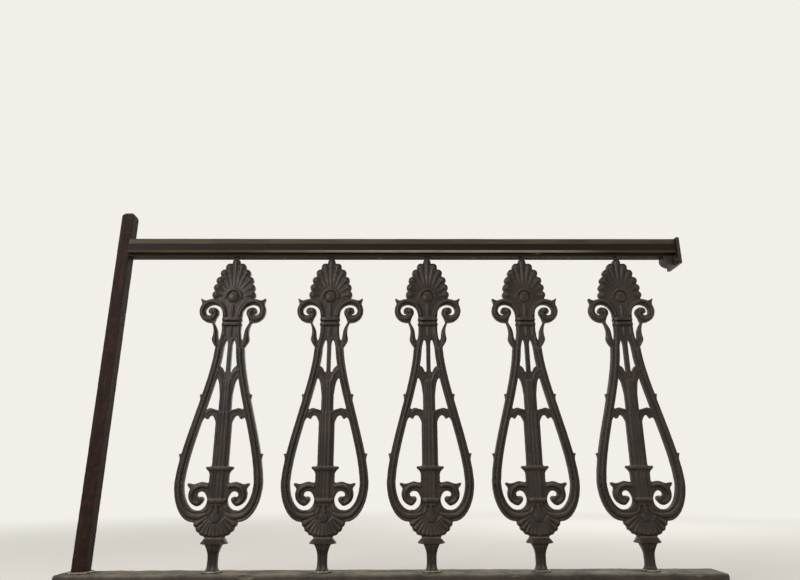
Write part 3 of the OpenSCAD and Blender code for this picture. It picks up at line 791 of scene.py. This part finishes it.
@dataclass(frozen=True)
class Skin:
    """A new mesh for a piece and the lumps that its making left on it, in mm."""

    voxel: float
    passes: int
    lumps: tuple[tuple[float, float], ...]
    triangles: int

    def cover(self, node: str, name: str, finish: Paintwork, slot: str) -> None:
        """Models a piece from a CAD node, dresses it and puts it in the node's place.

        Args:
            node: Name of the CAD node.
            name: Name of the new piece.
            finish: The finish it wears.
            slot: The record's material slot.
        """
        piece = copy_of_node(node, name)
        renew_skin(piece, self.voxel, self.passes)
        roughen(piece, self.lumps)
        thin_to(piece, self.triangles)
        dress(piece, finish, slot)
        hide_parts(node)


@dataclass(frozen=True)
class Palmette:
    """A fan of petals with raised rims round their ends, in mm and degrees.

    The petals' ends are in shares of width and reach, which is negative for a fan that hangs
    down. The first of the two rim radii is the middle petal's.
    """

    root_z: float
    width: float
    reach: float
    ends: tuple
    rims: tuple[float, float]
    half_turn: int
    rim_mm: float = 1.7
    step_deg: int = 15

    def model(self, y: float) -> list[Piece]:
        """Models the rims of the right side and of the middle.

        Args:
            y: Place of the rims across the casting, in mm.

        Returns:
            The rims, one for each petal.
        """
        made = []
        for share_x, share_z in self.ends:
            x, rise = self.width * share_x, self.reach * share_z
            radius = self.rims[share_x > 0]
            ahead = atan2(rise, x)
            arc = [ahead + radians(turn)
                   for turn in range(self.half_turn, -self.half_turn - 1, -self.step_deg)]
            made.append(pull_rib(
                [Station(x + radius * cos(t), self.root_z + rise + radius * sin(t),
                         self.rim_mm) for t in arc], y, sides=8))
        return made


@dataclass
class LyreCasting:
    """One lyre baluster with its relief, modelled once and copied to each place.

    Heights are millimetres above the kerb, widths are from the casting's axis and faces from
    its middle plane, as in CAD.
    """

    bowl_z: float = 121.0
    floor_z: float = 150.0
    belly_z: float = 222.0
    waist_z: float = 590.0
    crown_z: float = 680.0
    boss_z: float = 738.0
    belly_r: float = 118.5
    waist_r: float = 42.0
    arm_w: float = 24.0
    bowl_x: float = 60.0
    inner_bowl_x: float = 54.0
    wave_share: float = 0.045
    web_face: float = 7.5
    rib_face: float = 11.5
    voxel_mm: float = 1.4
    passes: int = 4
    lumps: tuple = ((14, 0.7), (4, 0.3))
    triangles: int = 140000
    boss_reach: float = 21.0
    boss_passes: int = 14
    # Arms: stops down the arm and along the bowl, and the bead's run-out under the stem
    bead_mm: float = 4.7
    arm_stops: int = 26
    bowl_stops: int = 15
    bowl_step_deg: int = 6
    run_out: tuple = ((47, 13.5), (35, 16.5), (26, 21.5))
    bead_sink: float = 2.2
    tail_stops: int = 5
    tail_share: float = 0.3
    # Scrolls: middle across, middle up and radius, then angle and share of radius down each bead
    upper_scroll: tuple[float, float, float] = (61.0, 701.5, 36.0)
    lower_scroll: tuple[float, float, float] = (48.5, 190.5, 30.0)
    upper_bead_mm: float = 4.6
    lower_bead_mm: float = 4.2
    upper_line: tuple = (
        (202, 1.22), (182, 1.03), (159, .89), (131, .80), (100, .78), (71, .78), (43, .76),
        (14, .76), (-11, .78), (-37, .80), (-60, .78), (-85, .71), (-110, .57), (-136, .42),
        (-169, .22))
    lower_line: tuple = (
        (138, .99), (111, .80), (80, .70), (47, .67), (16, .69), (-9, .73), (-36, .75),
        (-61, .76), (-81, .73), (-101, .62), (-110, .44))
    scroll_sink: float = 2.4
    thinning: float = 0.2
    eye_share: float = 1.5
    eye_mm: float = 6.0
    eye_lift: float = 2.0
    # Horn: shares of the upper scroll's radius, then its own radius and what it loses each stop
    horn_line: tuple = ((0.2, 0.93), (0.45, 0.86), (0.68, 0.87), (0.88, 0.95))
    horn_mm: float = 3.4
    horn_taper: float = 0.7
    horn_drop: float = 2.0
    horn_sink: float = 0.5
    rim_lift: float = 0.4
    palmettes: tuple[Palmette, Palmette] = (
        Palmette(742.0, 52.0, 125.0, ((0, .876), (.353, .752), (.635, .6), (.838, .417),
                                      (.95, .238), (1, .063)), (9.4, 10.1), 105),
        Palmette(150.0, 48.0, -69.0, ((0, .88), (.22, .855), (.44, .825), (.656, .771),
                                      (.856, .649), (1, .477)), (7.6, 7.6), 60))
    # Foot: shares of width and depth, and how far each level of the cage rises
    foot_base: float = 2.0
    foot_step: float = 7.0
    cage_mm: float = 100.0
    foot_levels: tuple = (
        (1, 1, 0), (.88, .6, 0), (.82, .48, 0), (.82, .48, 0), (.82, .48, 0), (.82, .5, 0),
        (.85, .6, 1), (.92, .85, 2.5), (.99, 1, 4), (1.04, 1, 4), (.84, 1, 2), (.84, 1, 0),
        (1, 1, 0))

    def arm_middle(self, share: float) -> tuple[float, float]:
        """Finds the middle of an arm above its belly.

        Args:
            share: Share of the arm's rise from belly to waist.

        Returns:
            Place along the casting and height, in mm.
        """
        sway = self.wave_share * sin(2 * pi * share)
        reach = (1 + cos(pi * share)) / 2 - sway
        x = self.waist_r + (self.belly_r - self.waist_r) * reach
        return x - self.arm_w / 2, self.belly_z + (self.waist_z - self.belly_z) * share

    def bowl_middle(self, angle: float) -> tuple[float, float]:
        """Finds the middle of an arm round its bowl.

        Args:
            angle: Angle down from the belly, in degrees.

        Returns:
            Place along the casting and height, in mm.
        """
        across, down = cos(radians(angle)), sin(radians(angle))
        outer = (self.bowl_x + (self.belly_r - self.bowl_x) * across,
                 self.belly_z - (self.belly_z - self.bowl_z) * down)
        inner = (self.inner_bowl_x + (self.belly_r - self.arm_w - self.inner_bowl_x) * across,
                 self.belly_z - (self.belly_z - self.floor_z) * down)
        return (outer[0] + inner[0]) / 2, (outer[1] + inner[1]) / 2

    def arm_relief(self) -> Piece:
        """Models the round bead down the right arm, from the neck to under the stem.

        Returns:
            The bead.
        """
        line = [self.arm_middle(1 - i / self.arm_stops) for i in range(self.arm_stops)]
        line += [self.bowl_middle(i * self.bowl_step_deg) for i in range(self.bowl_stops)]
        line += [(x, self.bowl_z + rise) for x, rise in self.run_out]
        # The bead tapers over its last stops
        last = len(line) - 1
        return pull_rib([
            Station(x, z, self.bead_mm * min(1, (last - i) / self.tail_stops + self.tail_share))
            for i, (x, z) in enumerate(line)], -self.rib_face + self.bead_sink)

    def scroll_relief(self) -> list[Piece]:
        """Models the beads and eyes of the upper and the lower scroll, and the upper horn.

        Returns:
            The beads, eyes and horn of the right side.
        """
        made = []
        for (cx, cz, r), line, width in (
                (self.upper_scroll, self.upper_line, self.upper_bead_mm),
                (self.lower_scroll, self.lower_line, self.lower_bead_mm)):
            points = [(cx + r * share * cos(radians(a)),
                       cz + r * share * sin(radians(a))) for a, share in line]
            count = len(points) - 1
            stops = [(x, z, width * (1 - self.thinning * i / count))
                     for i, (x, z) in enumerate(points)]
            made.append(pull_rib(self.filled(stops, 2), -self.rib_face + self.scroll_sink))
            made.append(raise_boss(*points[-1], -self.web_face - self.eye_lift,
                                   self.eye_share * width, self.eye_mm))
        x, z, r = self.upper_scroll
        made.append(pull_rib([
            Station(x + r * u, z + r * w - self.horn_drop, self.horn_mm - i * self.horn_taper)
            for i, (u, w) in enumerate(self.horn_line)], -self.web_face + self.horn_sink, sides=8))
        return made

    def leaf_relief(self) -> list[Piece]:
        """Models the veins of the side leaf and the cross leaf, and the ribs of neck and bell.

        Returns:
            The veins, ribs and folds of the right side and of the middle.
        """
        w, waist, bell = self.waist_r, self.waist_z, self.crown_z
        belly, bowl = self.belly_z, self.bowl_z
        rib, web = -self.rib_face, -self.web_face
        lines = [
            # Side leaf from the waist to the scroll
            (rib + 1.6, [(w - 4, waist + 3, 1.4), (w + 1.5, waist + 15, 2.8),
                         (w + 3.5, waist + 30, 2.9), (w + 4, waist + 47, 2.4),
                         (w + 9, waist + 66, 1.6)]),
            # Rib that runs up the edge of the neck from the arm
            (web - 0.5, [(w - 13, waist - 10, 2.8), (w - 17, waist + 22, 3.0),
                         (w - 19.5, waist + 52, 2.6), (w - 19.5, waist + 64, 2.4)]),
            # Ribs that open into the bell, beside it and up its middle
            (web - 0.5, [(w - 22, bell + 2, 2.4), (w - 21, bell + 18, 3.0),
                         (w - 16, bell + 34, 3.0), (w - 5, bell + 48, 2.2)]),
            (web - 0.5, [(0, bell + 2, 2.8), (0, bell + 22, 4.2), (0, bell + 40, 2.6)]),
            # Cross leaf out to the arm
            (web + 0.2, [(14, belly + 186, 2.0), (24, belly + 191, 3.2),
                         (38, belly + 192, 3.0), (50, belly + 184, 2.2)]),
            # Fork out to the arm
            (web + 0.2, [(10, waist - 96, 1.8), (16, waist - 78, 3.0), (26, waist - 66, 3.2),
                         (38, waist - 62, 2.2)]),
            # Folds that hang beside the tongue over the lower body
            (web + 0.5, [(12, bowl + 40, 2.4), (14, bowl + 30, 3.4), (21, bowl + 20, 2.2)]),
            (web + 0.5, [(24, bowl + 38, 2.0), (28, bowl + 31, 2.8), (38, bowl + 25, 1.8)]),
        ]
        return [pull_rib(self.filled(line), y, sides=10) for y, line in lines]

    def filled(self, line: Sequence[tuple], steps: int = 4) -> list[Station]:
        """Fills in stations between the stops of a line, on a smooth curve through them.

        Args:
            line: Place, height and radius of each stop, in mm.
            steps: Number of stations for each stretch.

        Returns:
            The stations, the last stop among them.
        """
        made = []
        for i in range(len(line) - 1):
            a, b = line[max(i - 1, 0)], line[i]
            c, d = line[i + 1], line[min(i + 2, len(line) - 1)]
            for s in range(steps):
                t = s / steps
                made.append(Station(*(
                    0.5 * (2 * q + (r - p) * t + (2 * p - 5 * q + 4 * r - u) * t * t
                           + (3 * q - p - 3 * r + u) * t ** 3)
                    for p, q, r, u in zip(a, b, c, d))))
        return made + [Station(*line[-1])]

    def relief(self) -> Piece:
        """Models all beads, rims and ribs of the casting, on both faces and both sides.

        Returns:
            The relief as one piece of many closed bodies.
        """
        rims = [rim for palmette in self.palmettes
                for rim in palmette.model(-self.web_face - self.rim_lift)]
        relief = join([self.arm_relief(), *self.scroll_relief(), *rims, *self.leaf_relief()],
                      "relief")
        move(relief, (0, 0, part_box("landing_kerb")[1].z))
        finish_with(relief, "MIRROR", use_axis=(True, True, False), use_mirror_merge=False)
        with editing(relief):
            bpy.ops.mesh.remove_doubles(threshold=MERGE_DISTANCE)
            bpy.ops.mesh.normals_make_consistent(inside=False)
        return relief

    def soften_boss(self, casting: Piece, height: float) -> None:
        """Smooths both faces round the root of the upper palmette.

        Args:
            casting: The casting, fine enough to be smoothed.
            height: Height of the palmette's root, in metres.
        """
        choose_faces(casting, lambda centre, normal: hypot(centre.x, centre.z - height)
                     < self.boss_reach * MM and abs(normal.y) > 0.2)
        with editing(casting, whole=False):
            bpy.ops.mesh.vertices_smooth(factor=0.5, repeat=self.boss_passes)

    def draw_in_foot(self, casting: Piece, base: float) -> None:
        """Draws the foot in above its lead and hollows the side of the cup.

        Args:
            casting: The casting, fine enough to follow the curve.
            base: Height of the lowest level of the cage, in metres.
        """
        last = len(self.foot_levels) - 1
        height = self.foot_step * last * MM
        cage = add_by(bpy.ops.object.add, type="LATTICE", location=(0, 0, base + height / 2))
        cage.scale = (self.cage_mm * MM, self.cage_mm * MM, height)
        cage.data.points_w = last + 1
        cage.data.interpolation_type_u = cage.data.interpolation_type_v = "KEY_LINEAR"
        for point in cage.data.points:
            share_x, share_y, rise = self.foot_levels[round((point.co.z + 0.5) * last)]
            point.co_deform = (point.co.x * share_x, point.co.y * share_y,
                               point.co.z + rise * MM / height)
        finish_with(casting, "LATTICE", object=cage)
        bpy.data.objects.remove(cage)

    def model(self) -> Piece:
        """Models the casting with its axis at x = 0, the middle baluster's place.

        Returns:
            The casting as one closed piece.
        """
        relief = self.relief()
        casting = join([copy_of_node("baluster_3", "casting"), relief], "lyre_casting_3")
        renew_skin(casting, self.voxel_mm, self.passes)
        kerb_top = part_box("landing_kerb")[1].z
        self.soften_boss(casting, kerb_top + self.boss_z * MM)
        self.draw_in_foot(casting, kerb_top + self.foot_base * MM)
        roughen(casting, self.lumps, middle=0.5)
        thin_to(casting, self.triangles)
        return casting

    def build(self) -> None:
        """Models the casting once and copies it to the other four places."""
        first = self.model()
        # The model stands in the middle place and is dressed last, once its copies are made
        for number in (1, 2, 4, 5, 3):
            node = f"baluster_{number}"
            low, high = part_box(node)
            shift = Vector(((low.x + high.x) / 2, 0, 0))
            piece = first if number == 3 else twin(first, f"lyre_casting_{number}", shift)
            dress(piece, Paintwork.CAST_IRON, "cast_iron")
            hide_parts(node)


@dataclass
class LandingKerb:
    """Stone kerb with worn, chipped arrises, and the lead run in round each foot."""

    voxel_mm: float = 3.0
    skin_mm: float = 1.6
    lumps: tuple = ((60, 2.2), (9, 1.0))
    # Chips: how many, their sizes, and in shares of the size their rise, length and depth
    chips: int = 46
    chip_mm: tuple[float, float] = (3.0, 10.0)
    big_chip: float = 1.6
    big_every: int = 9
    back_every: int = 3
    chip_rise: tuple[float, float] = (0.05, 0.45)
    chip_length: tuple[float, float] = (1.2, 2.6)
    chip_depth: tuple[float, float] = (0.6, 1.1)
    chip_break: float = 0.25
    triangles: int = 90000
    lead: Skin = Skin(1.2, 4, ((8, 1.4),), 9000)

    def chip_cutter(self, low: Vector, high: Vector) -> Piece:
        """Makes the lumps that are cut out of the two upper arrises.

        Args:
            low: Lower corner of the kerb's box.
            high: Upper corner of the kerb's box.

        Returns:
            The lumps as one piece.
        """
        dice = random.Random(SEED)
        lumps = []
        for i in range(self.chips):
            big = i % self.big_every == 0
            size = dice.uniform(*self.chip_mm) * MM * (self.big_chip if big else 1.0)
            # The last of every few lies on the back arris
            arris = high.y if (i + 1) % self.back_every == 0 else low.y
            lump = add_by(
                bpy.ops.mesh.primitive_ico_sphere_add, subdivisions=2, radius=size,
                location=(dice.uniform(low.x, high.x), arris,
                          high.z + size * dice.uniform(*self.chip_rise)),
                scale=(dice.uniform(*self.chip_length), dice.uniform(*self.chip_depth), 1.0))
            with editing(lump):
                bpy.ops.transform.vertex_random(offset=size * self.chip_break, seed=i)
            settle(lump)
            lumps.append(lump)
        return join(lumps, "chips")

    def build(self) -> None:
        """Models the kerb and its lead seats."""
        kerb = copy_of_node("landing_kerb", "stone_kerb")
        renew_skin(kerb, self.voxel_mm, passes=2)
        roughen(kerb, self.lumps)
        cut_out(kerb, self.chip_cutter(*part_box("landing_kerb")), use_self=True)
        # A finer skin over the cut stone, so that no face folds over another at the arrises
        renew_skin(kerb, self.skin_mm, passes=1)
        thin_to(kerb, self.triangles)
        dress(kerb, Paintwork.KERB_STONE, "kerb_stone", smooth_deg=50)
        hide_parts("landing_kerb")
        for node in [f"lead_seat_{n}" for n in range(1, 6)] + ["newel_lead"]:
            self.lead.cover(node, f"poured_{node}", Paintwork.LEAD, "caulking_lead")


@dataclass
class Handrail:
    """Moulded wooden rail on its flat iron core."""

    edge_mm: float = 1.4
    bar_edge_mm: float = 0.8
    # The rail is cut into lengths of this size, so that its run can be uneven
    length_mm: float = 24.0
    lumps: tuple = ((90, 0.9),)
    smooth_deg: float = 35.0

    def build(self) -> None:
        """Models the worn rail and the bar under it, and dresses the pins and screws."""
        rail = copy_of_node("handrail", "worn_handrail")
        clear_flats(rail)
        round_edges(rail, self.edge_mm, segments=3, over_deg=30)
        low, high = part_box("handrail")
        place = low.x + self.length_mm * MM
        with editing(rail):
            while place < high.x - self.length_mm * MM:
                bpy.ops.mesh.select_all(action="SELECT")
                bpy.ops.mesh.bisect(plane_co=(place, 0, 0), plane_no=(1, 0, 0))
                place += self.length_mm * MM
        roughen(rail, self.lumps)
        dress(rail, Paintwork.RAIL_WOOD, "rail_wood", self.smooth_deg)
        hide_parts("handrail")
        bar = copy_of_node("core_bar", "flat_core_bar")
        clear_flats(bar)
        round_edges(bar, self.bar_edge_mm, segments=2, over_deg=60)
        # The bar's darker finish is painted shade under the rail
        dress(bar, Paintwork.SHADED_BAR_IRON, "wrought_iron", self.smooth_deg)
        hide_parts("core_bar")
        for name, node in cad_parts.items():
            if name.startswith(("tip_pin_", "rail_screw_")):
                dress(node, Paintwork.SCREW_STEEL, smooth_deg=40)


@dataclass
class EndIrons:
    """Newel post at the left end and bracket on the wall at the right end."""

    newel: Skin = Skin(1.8, 3, ((30, 1.0), (6, 0.6)), 60000)
    bracket: Skin = Skin(1.2, 3, ((12, 0.6),), 30000)
    plate_mm: float = 10.0
    head_mm: float = 5.4
    head_rise_mm: float = 2.2
    head_rim_mm: float = 0.8
    head_gap_mm: float = 0.35
    crown_steps: tuple = ((0.22, 0.55), (0.3, 0.3))
    shank_mm: float = 2.8
    shank_length_mm: float = 9.2
    slot_mm: float = 1.2
    slot_depth_mm: float = 1.8
    slot_deg: float = 25.0
    screw_y_mm: float = 31.0

    def screw(self, name: str, y: float) -> Piece:
        """Models one slotted screw in the bracket's plate.

        Args:
            name: Name of the screw.
            y: Its place across the rail, in mm.

        Returns:
            The screw, its head against the plate and its shank in the plate's hole.
        """
        low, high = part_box("wall_bracket")
        height = (low.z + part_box("core_bar")[0].z) / 2
        face = high.x - self.plate_mm * MM
        screw = add_by(bpy.ops.mesh.primitive_cylinder_add, vertices=32, end_fill_type="NGON",
                       radius=self.head_mm * MM, depth=self.head_rim_mm * MM,
                       location=(face - self.head_gap_mm * MM, y * MM, height),
                       rotation=(0, -pi / 2, 0))
        screw.name = name
        settle(screw)
        # Domed crown: the outer face is drawn in and raised twice
        for draw, rise in self.crown_steps:
            outer = min(v.co.x for v in screw.data.vertices) + MERGE_DISTANCE
            choose_faces(screw, lambda centre, normal: centre.x < outer and normal.x < -0.9)
            with editing(screw, whole=False):
                bpy.ops.mesh.inset(thickness=draw * self.head_mm * MM)
                bpy.ops.transform.translate(value=(-rise * self.head_rise_mm * MM, 0, 0))
        # Shank: the inner face is drawn in and pushed through the plate
        inner = max(v.co.x for v in screw.data.vertices) - MERGE_DISTANCE
        choose_faces(screw, lambda centre, normal: centre.x > inner and normal.x > 0.9)
        shank = (self.shank_length_mm * MM, 0, 0)
        with editing(screw, whole=False):
            bpy.ops.mesh.inset(thickness=(self.head_mm - self.shank_mm) * MM)
            bpy.ops.mesh.extrude_region_move(TRANSFORM_OT_translate={"value": shank})
        # The slots of the two screws were left at different angles
        cut_out(screw, add_by(
            bpy.ops.mesh.primitive_cube_add, size=1, rotation=(radians(self.slot_deg + y), 0, 0),
            location=(face - self.head_rise_mm * MM, y * MM, height),
            scale=(self.slot_depth_mm * MM, 3 * self.head_mm * MM, self.slot_mm * MM)))
        return screw

    def build(self) -> None:
        """Models the post, the bracket and the bracket's two screws."""
        self.newel.cover("newel_post", "forged_newel", Paintwork.NEWEL_IRON, "wrought_iron")
        self.bracket.cover("wall_bracket", "wall_corbel", Paintwork.CAST_IRON, "wrought_iron")
        for number, side in ((1, -1), (2, 1)):
            screw = self.screw(f"plate_screw_{number}", side * self.screw_y_mm)
            dress(screw, Paintwork.SCREW_STEEL, "wrought_iron", smooth_deg=30)


@dataclass
class Studio:
    """Pale floor, soft lamps and the camera at the photograph's angle."""

    lens_mm: float = 27.05
    sensor_mm: float = 36.0
    clip: tuple[float, float] = (0.05, 100.0)
    camera_place: tuple[float, float, float] = (-0.0949, -1.7116, 0.3138)
    turn_deg: tuple[float, float, float] = (17.14, 0.46, -0.14)
    floor_size: float = 80.0
    room_strength: float = 0.42
    # Name, place, aim, size in metres and power of each lamp
    lamps: tuple = (
        ("window_left", (-2.4, -2.6, 2.0), (0, 0, 0.5), 1.6, 95),
        ("ceiling", (0.4, -0.2, 3.2), (0, 0, 0.4), 3.0, 12),
        ("window_behind", (1.4, 2.8, 1.8), (0, 0, 0.5), 2.4, 36),
        ("room", (2.6, -2.6, 1.0), (0, 0, 0.5), 2.4, 14))

    def set_camera(self) -> None:
        """Makes the camera that the photograph was taken from."""
        pitch, yaw, roll = (radians(turn) for turn in self.turn_deg)
        ahead = Vector((sin(yaw) * cos(pitch), cos(yaw) * cos(pitch), sin(pitch)))
        right = Vector((cos(yaw), -sin(yaw), 0))
        up = right.cross(ahead)
        right, up = (right * cos(roll) + up * sin(roll), up * cos(roll) - right * sin(roll))
        camera = add_by(bpy.ops.object.camera_add, location=self.camera_place)
        camera.name = "photo_camera"
        camera.rotation_mode = "QUATERNION"
        camera.rotation_quaternion = Matrix((right, up, -ahead)).transposed().to_quaternion()
        camera.data.lens = self.lens_mm
        camera.data.sensor_width = self.sensor_mm
        camera.data.clip_start, camera.data.clip_end = self.clip
        bpy.context.scene.camera = camera

    def light(self, floor: PaleFloor) -> None:
        """Hangs the soft lamps and sets the pale surroundings.

        Args:
            floor: The floor's finish, whose colour the surroundings share.
        """
        for name, place, aim, size, power in self.lamps:
            lamp = add_by(bpy.ops.object.light_add, type="AREA", location=place)
            lamp.name = name
            lamp.data.size = size
            lamp.data.energy = power
            way = Vector(aim) - Vector(place)
            lamp.rotation_euler = way.to_track_quat("-Z", "Y").to_euler()
        world = bpy.data.worlds.new("pale_room")
        world.use_nodes = True
        world.node_tree.nodes.clear()
        add = partial(add_node, world.node_tree)
        strength = add("MapRange", {
            "Value": seen_straight(add), "To Min": self.room_strength, "To Max": 1.0})
        glow = add("Background", {"Color": linear(floor.pale), "Strength": strength})
        add("OutputWorld", {"Surface": glow})
        bpy.context.scene.world = world
        bpy.context.scene.view_settings.view_transform = "Standard"

    def build(self) -> None:
        """Sets the camera, lays the floor and hangs the lamps."""
        self.set_camera()
        finish = PaleFloor()
        floor = add_by(bpy.ops.mesh.primitive_grid_add, x_subdivisions=8, y_subdivisions=8,
                       size=self.floor_size, location=(0, 0, 0))
        floor.name = "floor"
        floor.data.materials.append(finish.material())
        self.light(finish)


def main() -> None:
    """Builds the setting, then the balustrade piece by piece."""
    logging.basicConfig(level=logging.INFO, format="%(message)s")
    for assembly in (Studio(), LyreCasting(), LandingKerb(), Handrail(), EndIrons()):
        assembly.build()


if __name__ == "__main__":
    main()
